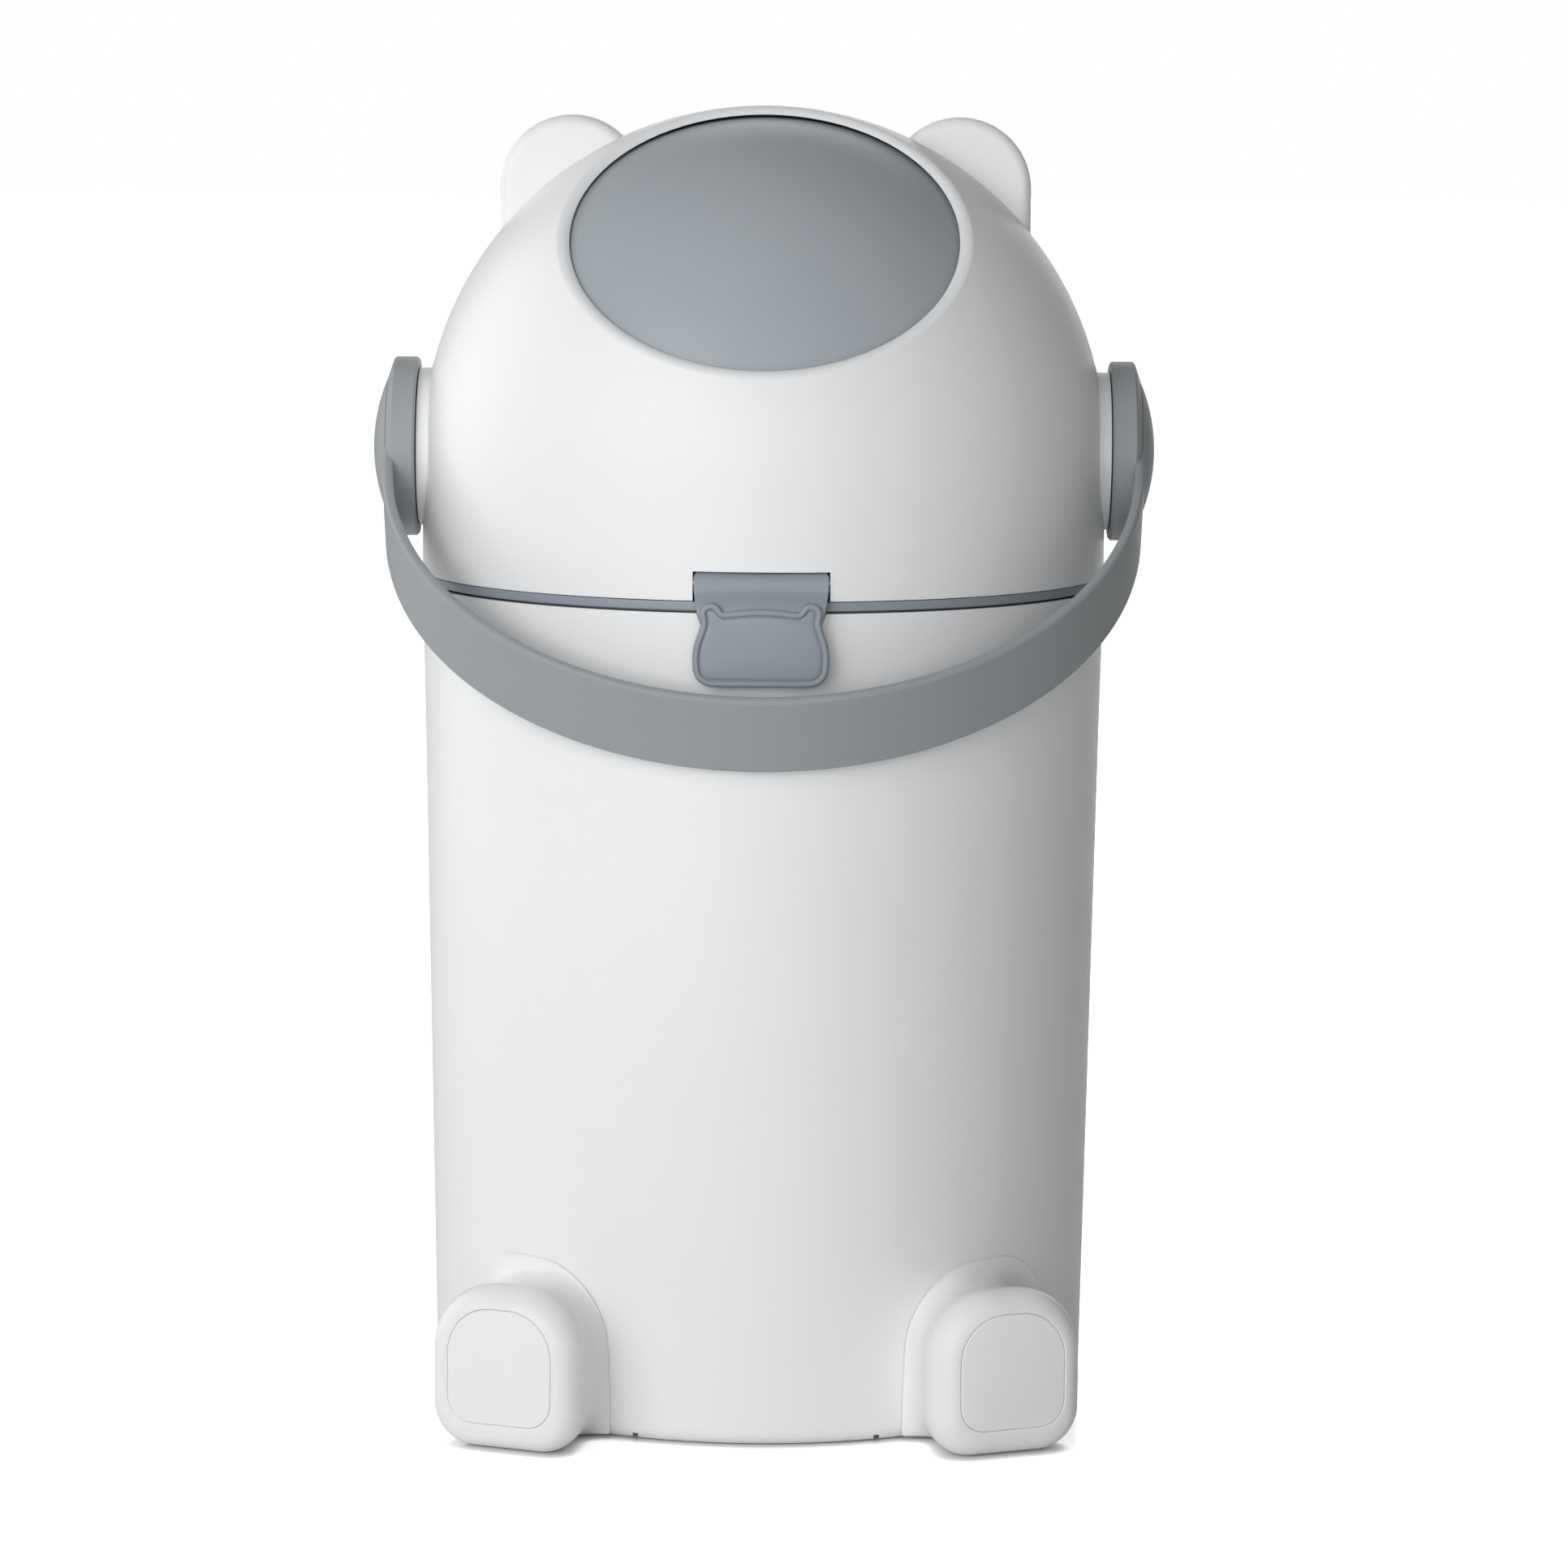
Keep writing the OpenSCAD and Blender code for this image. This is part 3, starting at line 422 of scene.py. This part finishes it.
def on_tube(angle, z, lift=FLANGE_EDGE):
    radius = tube_radius(z) + lift
    return Vector((radius * math.sin(angle), -radius * math.cos(angle), z))


def flange_ring(lift, share=1.0):
    """The flange's edge wrapped on the tube, lift above its wall; share shrinks it inwards."""
    outline = round_outline(FLANGE_HALF, FLANGE_LOW, FLANGE_H, FLANGE_LOW_R, FLANGE_TOP_R)
    ring = []
    for x, z in outline:
        z = FLANGE_H / 2 + (z - FLANGE_H / 2) * share
        narrowing = 1 - FLANGE_NARROWING * (z / FLANGE_H) ** 2
        angle = FLANGE_AZ + math.asin(x * share * narrowing / BASE_R)
        ring.append(on_tube(angle, z, lift))
    return ring


print("the flange's edge has", len(flange_ring(FLANGE_EDGE)), "points, as the foot's sections")

# %% Curves from the waist to the flange
LEAVE, ARRIVE = 0.5, 0.6  # how far each curve keeps its first and its last direction


def flare(waist, edge, count):
    """Rings from the waist to the flange's edge; each point runs along its own curve."""
    back = foot_point(0, 1, 0) - foot_point(0, 0, 0)
    curves = []
    for near, far in zip(waist, edge):
        near_angle, far_angle = (math.atan2(p.x, -p.y) for p in (near, far))
        leave = near + back * (far - near).length * LEAVE
        arrive = on_tube(far_angle + (near_angle - far_angle) * ARRIVE,
                         far.z + (near.z - far.z) * ARRIVE)
        curves.append((near, leave, arrive, far))
    rings = []
    for i in range(1, count + 1):
        t = i / count
        weights = ((1 - t) ** 3, 3 * t * (1 - t) ** 2, 3 * t * t * (1 - t), t ** 3)
        rings.append([sum((p * w for p, w in zip(curve, weights)), Vector((0, 0, 0)))
                      for curve in curves])
    return rings


print("the waist lies", round(WAIST_DEPTH / MM, 1), "mm behind the sole")

# %% All rings of a foot and of its sole panel
EDGE_START, EDGE_SWEEP = 26, 64  # degrees of the front edge's round that are used
EDGE_STEPS, SOFT_STEPS, WAIST_STEPS, FLARE_STEPS = 8, 4, 8, 18


def quarter(steps):
    """Angles from 0 to a right angle."""
    return [math.radians(90 * i / steps) for i in range(steps + 1)]


def foot_rings():
    rings = [sole_ring(SOLE_T, GROOVE)]
    for angle in quarter(SOFT_STEPS):
        rings.append(sole_ring(SOFT_EDGE * (1 - math.sin(angle)) + SOLE_GAP,
                               GROOVE + SOFT_EDGE * (1 - math.cos(angle))))
    for i in range(EDGE_STEPS + 1):
        angle = math.radians(EDGE_START + EDGE_SWEEP * i / EDGE_STEPS)
        rings.append(foot_ring(FOOT_EDGE_R * (1 - math.cos(angle)),
                               FOOT_EDGE_R * (1 - math.sin(angle))))
    for i in range(1, WAIST_STEPS + 1):
        t = i / WAIST_STEPS
        depth = FOOT_EDGE_R + (WAIST_DEPTH - FOOT_EDGE_R) * t
        rings.append(foot_ring(depth, 0, WAIST_IN * smooth_step(t)))
    rings += flare(rings[-1], flange_ring(FLANGE_EDGE), FLARE_STEPS)
    for share in (1, 0.8, 0.6, 0.4, 0.2, 0.05):
        rings.append(flange_ring(SEAT_GAP, share))
    return rings


def sole_panel_rings():
    rings = [sole_ring(SOFT_EDGE * (1 - math.cos(angle)), -SOFT_EDGE * (1 - math.sin(angle)))
             for angle in quarter(SOFT_STEPS)]
    return rings + [sole_ring(SOLE_T, 0)]


print("a foot has", len(foot_rings()), "rings, its sole panel", len(sole_panel_rings()))


# %% Make one foot, and mirror it for the other side
def on_side(side, rings):
    """The rings as they are on the right, and mirrored on the left."""
    across = {"right": 1, "left": -1}[side]
    return [[Vector((across * p.x, p.y, p.z)) for p in ring] for ring in rings]


for side in ("right", "left"):
    foot = skin("foot_shell_" + side, on_side(side, foot_rings()), white, "bin")
    panel = skin("sole_inset_" + side, on_side(side, sole_panel_rings()), white, "bin")
    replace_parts(foot, "foot_" + side)
    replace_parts(panel, "sole_panel_" + side)

# %% [markdown]
# ## Latch
#
# The latch is one grey moulding in two forms. A straight tab hangs on the pin in the dome's
# window. Below it lies the paddle, a wide flap with two small round ears, a soft raised rim
# and a fine groove inside the rim. The paddle is bent, but flatter than the tube behind it.
# Inset and bevel would pinch in the tight corners of the ears. So its outline is a polygon
# whose corners are rounded, each by a radius of its own, and it can be moved inwards for the
# rim, the groove and the panel inside.

# %% Sizes of the latch
PIN = Vector(joints["latch_pivot"]["pos_m"])
latch_low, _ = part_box("latch")
PADDLE_LOW = latch_low.z
RIM_FRONT = -latch_low.y
PADDLE_T, RIM_H, RIM_W = 3 * MM, 1 * MM, 2.4 * MM
PADDLE_BACK = RIM_FRONT - RIM_H - PADDLE_T
PADDLE_MIDDLE = 13 * MM
BEND_BACK = 80 * MM
BARREL_R = 4 * MM

# Half of the paddle's outline from the bottom up: x, height and radius of each corner
PADDLE_SIDE = [(24.2, 0, 7), (24.9, 13, 22), (21.5, 23, 5), (23.1, 30.4, 3.9),
               (15.2, 30.4, 3.9), (13.9, 27.2, 1.1)]
PADDLE_CROWN = (0, 28.6, 60)
PADDLE_CORNERS = [(Vector((x, z)) * MM, r * MM) for x, z, r in
                  PADDLE_SIDE + [PADDLE_CROWN] + [(-x, z, r) for x, z, r in reversed(PADDLE_SIDE)]]
print("the paddle's rim stands", round((RIM_FRONT - TOP_R) / MM, 1), "mm in front of the dome")


# %% Move an outline of corners inwards
def neighbours(items):
    """Each item with the one before it and the one after it, round a closed row."""
    return zip(items[-1:] + items[:-1], items, items[1:] + items[:1])


def move_inwards(corners, inset):
    """Each corner with its radius, moved inwards; outer radii shrink and hollow ones grow."""
    moved = []
    for (before, _), (corner, radius), (after, _) in neighbours(corners):
        u, v = (before - corner).normalized(), (after - corner).normalized()
        side = 1 if v.x * u.y - v.y * u.x > 0 else -1
        moved.append((corner + (u + v).normalized() * side * inset / math.sin(u.angle(v) / 2),
                      radius - side * inset))
    return moved


print("the groove's outline keeps", len(move_inwards(PADDLE_CORNERS, RIM_W)), "corners")


# %% Round each corner by its own radius
SIDE_STEP, CORNER_STEPS = 2.5 * MM, 6
SIDE_COUNTS = [max(2, round((after - corner).length / SIDE_STEP))
               for _, (corner, _), (after, _) in neighbours(PADDLE_CORNERS)]


def corner_arc(before, corner, after, radius, steps=CORNER_STEPS):
    u, v = (before - corner).normalized(), (after - corner).normalized()
    half = u.angle(v) / 2
    centre = corner + (u + v).normalized() * radius / math.sin(half)
    first, last = (corner + w * radius / math.tan(half) - centre for w in (u, v))
    start = math.atan2(first.y, first.x)
    turn = math.remainder(math.atan2(last.y, last.x) - start, math.tau)
    angles = [start + turn * i / steps for i in range(steps + 1)]
    return [centre + Vector((math.cos(a), math.sin(a))) * radius for a in angles]


def rounded_outline(corners):
    """An arc at every corner, and points along the straight sides between them."""
    arcs = [corner_arc(before, corner, after, radius)
            for (before, _), (corner, radius), (after, _) in neighbours(corners)]
    outline = []
    for here, following, count in zip(arcs, arcs[1:] + arcs[:1], SIDE_COUNTS):
        outline += here
        outline += [here[-1].lerp(following[0], i / count) for i in range(1, count)]
    return outline


print("the paddle's outline has", len(rounded_outline(PADDLE_CORNERS)), "points")


# %% Bend a flat form round the bin
def bent_point(x, z, reach, weight=1.0):
    """A point at that distance in front of the axis; weight 0 leaves it unbent across x."""
    sag = BEND_BACK + reach - math.sqrt((BEND_BACK + reach) ** 2 - x * x)
    return Vector((x, sag * weight - reach, z))


def paddle_ring(inset, lift, share=1.0):
    """The paddle's outline, moved inwards and lifted off its back; share shrinks it."""
    outline = rounded_outline(move_inwards(PADDLE_CORNERS, inset))
    return [bent_point(p.x * share, PADDLE_LOW + PADDLE_MIDDLE + (p.y - PADDLE_MIDDLE) * share,
                       PADDLE_BACK + lift) for p in outline]


edge = paddle_ring(0, 0)
print("the bend is", round((max(p.y for p in edge) - min(p.y for p in edge)) / MM, 1), "mm deep")

# %% Make the paddle from its back to its panel
RIM_TOP = PADDLE_T + RIM_H
RIM_OUTER, RIM_FLAT, RIM_ROUND = 0.9 * MM, 1.5 * MM, 1.5 * MM
# Inset and lift in mm of each step of a soft edge: the back's, and the panel's past the rim
BACK_EDGE = [(0.6, 0), (0.2, 0.15), (0, 0.6)]
PANEL_EDGE = [(0.25, 0), (0.4, 0.25), (0.7, 0.38)]
PANEL_CROWN = 0.35


def paddle_rings():
    inset, _ = BACK_EDGE[0]
    rings = [paddle_ring(inset * MM, 0, share) for share in (0.05, 0.3, 0.6, 0.85)]
    rings += [paddle_ring(inset * MM, lift * MM) for inset, lift in BACK_EDGE]
    for angle in quarter(6):
        rings.append(paddle_ring(RIM_OUTER * (1 - math.cos(angle)),
                                 RIM_TOP - RIM_ROUND * (1 - math.sin(angle))))
    for angle in quarter(4):
        rings.append(paddle_ring(RIM_FLAT + (RIM_W - RIM_FLAT) * math.sin(angle),
                                 PADDLE_T + (RIM_TOP - PADDLE_T) * math.cos(angle)))
    rings += [paddle_ring(RIM_W + inset * MM, PADDLE_T + lift * MM) for inset, lift in PANEL_EDGE]
    inset, lift = PANEL_EDGE[-1]
    for share in (0.92, 0.75, 0.55, 0.35, 0.15, 0.04):
        crown = lift + PANEL_CROWN * (1 - share ** 2)
        rings.append(paddle_ring(RIM_W + inset * MM, PADDLE_T + crown * MM, share))
    return rings


paddle = skin("latch_paddle", paddle_rings(), latch_grey, "latch")
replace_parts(paddle, "latch")

# %% The tab's section and width
BARREL_SWEEP, BARREL_STEP = 225, 15  # degrees
# The back from the barrel down, then the face from the bottom up: mm before and above the pin
TAB_BACK = [(-1, -3.9), (2, -4.6), (4.9, -5.7), (5.9, -7.5), (7.1, -10.9), (7.1, -22.9)]
TAB_FACE = [(8.6, -22.9), (9, -11.9), (8.9, -9.3), (8.3, -7.5), (7.3, -6), (6, -4.8), (5, -3.7),
            (4.4, -2.4), (4.1, -1.1)]
TAB_HALF, TAB_NECK, TAB_FOOT = 24.6 * MM, 23.1 * MM, 19 * MM
TAB_CORNER, SLANT_H = 1.6 * MM, 14.5 * MM
FOOT_FROM, FOOT_OVER = 10.5 * MM, 6 * MM


def tab_profile():
    """The tab's section, as distance in front of the axis and height, round the pin first."""
    pin = Vector((-PIN.y, PIN.z))
    barrel = [pin + Vector((math.cos(a), math.sin(a))) * BARREL_R
              for a in (math.radians(d) for d in range(0, BARREL_SWEEP + 1, BARREL_STEP))]
    return barrel + [pin + Vector(p) * MM for p in TAB_BACK + TAB_FACE]


def tab_half(z):
    """Half the tab's width at height z: round upper corners, slanting sides, hidden foot."""
    top = PIN.z + BARREL_R
    over = min(TAB_CORNER, max(0, z - (top - TAB_CORNER)))
    slant = (TAB_HALF - TAB_NECK) * min(1, (top - z) / SLANT_H) ** 2
    foot = (TAB_NECK - TAB_FOOT) * smooth_step((PIN.z - FOOT_FROM - z) / FOOT_OVER)
    return TAB_HALF - slant - foot - TAB_CORNER + math.sqrt(TAB_CORNER ** 2 - over ** 2)


print("the tab is", round(2 * tab_half(PIN.z) / MM, 1), "mm wide at its pin")

# %% Make the tab that carries the paddle
LEAST_BEND, BEND_OVER = 0.3, 7 * MM
STATIONS = 24
TAB_SOFT = 0.5 * MM


def tab_ring(u):
    """The tab's section at a station from -1 to 1 across it, straight at the pin, bent below."""
    ring = []
    for reach, z in tab_profile():
        below_pin = LEAST_BEND + (1 - LEAST_BEND) * smooth_step((PIN.z - z) / BEND_OVER)
        before_pin = smooth_step((reach + PIN.y) / BARREL_R)
        ring.append(bent_point(u * tab_half(z), z, reach, below_pin * before_pin))
    return ring


def round_edges(piece, width, segments=3, angle=40):
    select_only(piece)
    bpy.ops.object.modifier_add(type="BEVEL")
    bevel = piece.modifiers[-1]
    bevel.width = width
    bevel.segments = segments
    bevel.limit_method = "ANGLE"
    bevel.angle_limit = math.radians(angle)
    bpy.ops.object.modifier_apply(modifier=bevel.name)


tab = skin("latch_tab", [tab_ring(2 * i / STATIONS - 1) for i in range(STATIONS + 1)],
           latch_grey, "latch")
round_edges(tab, TAB_SOFT)

# %% [markdown]
# ## Studio
#
# The bin stands in a white studio. A big soft lamp in front on the left models its round
# form, one straight ahead fills the front, two more light its left side and its back, and a
# weak one hangs above. White walls could be built round the bin, but they would light it
# from all sides and flatten it. So the floor and the world show white only to the camera and
# in reflections, and they add no light to the bin. A floor that glows hides soft shadows,
# so the thin dark line where the bin stands is made by ambient occlusion.


# %% What the camera sees, and what gloss mirrors
def math_node(tree, operation, *values):
    """The result of a math node; each value is a number or the output of another node."""
    node = tree.nodes.new("ShaderNodeMath")
    node.operation = operation
    for socket, value in zip(node.inputs, values):
        if isinstance(value, bpy.types.NodeSocket):
            link(tree, value, socket)
        else:
            socket.default_value = value
    return node.outputs[0]


def seen_or_mirrored(tree, in_mirror):
    """1 where the camera sees the surface, and in_mirror where a glossy surface shows it."""
    path = tree.nodes.new("ShaderNodeLightPath").outputs
    direct = math_node(tree, "MAXIMUM", path["Is Camera Ray"], path["Is Transmission Ray"])
    return math_node(tree, "MULTIPLY_ADD", path["Is Glossy Ray"], in_mirror, direct)


bpy.context.scene.view_settings.view_transform = "Standard"
print("view transform:", bpy.context.scene.view_settings.view_transform)

# %% The world behind the bin
DAYLIGHT = (0.97, 0.985, 1.0)
DAYLIGHT_FILL = 0.176
STUDIO_WHITE = 1.0
WHITE_IN_GLOSS = 0.125


def background(tree, colour, strength):
    node = tree.nodes.new("ShaderNodeBackground")
    node.inputs["Color"].default_value = (*colour, 1)
    node.inputs["Strength"].default_value = strength
    return node.outputs[0]


world = bpy.data.worlds.new("studio")
bpy.context.scene.world = world
world.use_nodes = True
air = world.node_tree
air.nodes.clear()
mix = air.nodes.new("ShaderNodeMixShader")
link(air, seen_or_mirrored(air, WHITE_IN_GLOSS), mix.inputs["Fac"])
link(air, background(air, DAYLIGHT, DAYLIGHT_FILL), mix.inputs[1])
link(air, background(air, (1, 1, 1), STUDIO_WHITE), mix.inputs[2])
link(air, mix.outputs[0], air.nodes.new("ShaderNodeOutputWorld").inputs["Surface"])
print("the world fills the shadows with", DAYLIGHT_FILL)

# %% How much the floor glows
GLOW_NEAR, GLOW_FAR = 0.6, 1.0
GLOW_FROM, GLOW_TO = 0.2, 1.2  # metres from the bin's axis
CONTACT_REACH, CONTACT_DEPTH = 5 * MM, 2


def glow_round_the_bin(tree):
    """The glow grows with the distance from the bin's axis."""
    distance = tree.nodes.new("ShaderNodeVectorMath")
    distance.operation = "LENGTH"
    link(tree, tree.nodes.new("ShaderNodeTexCoord").outputs["Object"], distance.inputs[0])
    spread = tree.nodes.new("ShaderNodeMapRange")
    spread.interpolation_type = "SMOOTHSTEP"
    link(tree, distance.outputs["Value"], spread.inputs["Value"])
    for name, value in (("From Min", GLOW_FROM), ("From Max", GLOW_TO),
                        ("To Min", GLOW_NEAR), ("To Max", GLOW_FAR)):
        spread.inputs[name].default_value = value
    return spread.outputs["Result"]


def contact_shadow(tree):
    """1 on the open floor, and less where something stands on it."""
    gap = tree.nodes.new("ShaderNodeAmbientOcclusion")
    gap.inputs["Distance"].default_value = CONTACT_REACH
    return math_node(tree, "POWER", gap.outputs["AO"], CONTACT_DEPTH)


print("the contact shadow reaches", round(CONTACT_REACH / MM), "mm")

# %% The floor's finish
FLOOR_WHITE, FLOOR_ROUGHNESS = (0.9, 0.9, 0.9), 0.12


def floor_finish():
    """White that glows for the camera alone."""
    material = bpy.data.materials.new("studio_floor")
    material.use_nodes = True
    tree = material.node_tree
    shader = tree.nodes["Principled BSDF"]
    shader.inputs["Base Color"].default_value = (*FLOOR_WHITE, 1)
    shader.inputs["Roughness"].default_value = FLOOR_ROUGHNESS
    open_floor = math_node(tree, "MULTIPLY", glow_round_the_bin(tree), contact_shadow(tree))
    strength = math_node(tree, "MULTIPLY", seen_or_mirrored(tree, 0), open_floor)
    glow = tree.nodes.new("ShaderNodeEmission")
    link(tree, strength, glow.inputs["Strength"])
    add = tree.nodes.new("ShaderNodeAddShader")
    link(tree, shader.outputs[0], add.inputs[0])
    link(tree, glow.outputs[0], add.inputs[1])
    link(tree, add.outputs[0], tree.nodes["Material Output"].inputs["Surface"])
    return material


studio_floor = floor_finish()
print("made", studio_floor.name)

# %% The floor
FLOOR_SIZE, FLOOR_DROP = 40, 0.2 * MM

bpy.ops.mesh.primitive_plane_add(size=FLOOR_SIZE, location=(0, 0, -FLOOR_DROP))
floor = bpy.context.object
floor.name = "floor"
dress(floor, studio_floor)
print("the floor is", FLOOR_SIZE, "m wide")

# %% The lamps
# Each soft lamp's name, place, height that it aims at on the axis, width, height and power
LAMPS = [
    ("key", (-1.4, -1.9, 1.1), 0.25, 1.6, 1.8, 22.4),
    ("front", (-0.3, -2.6, 0.5), 0.25, 2.4, 1.6, 27),
    ("left", (-1.8, 0.9, 0.8), 0.25, 1.4, 1.8, 16),
    ("back", (0.4, 2.4, 0.9), 0.25, 1.6, 1.8, 14),
    ("top", (-0.4, -0.6, 2.2), 0.3, 1.4, 1.4, 3),
]

for name, place, aim_height, width, height, power in LAMPS:
    bpy.ops.object.light_add(type="AREA", location=place)
    lamp = bpy.context.object
    lamp.name = name
    lamp.data.shape = "RECTANGLE"
    lamp.data.size = width
    lamp.data.size_y = height
    lamp.data.energy = power
    aim = Vector((0, 0, aim_height)) - Vector(place)
    lamp.rotation_euler = aim.to_track_quat("-Z", "Y").to_euler()
print("lamps:", [lamp[0] for lamp in LAMPS])
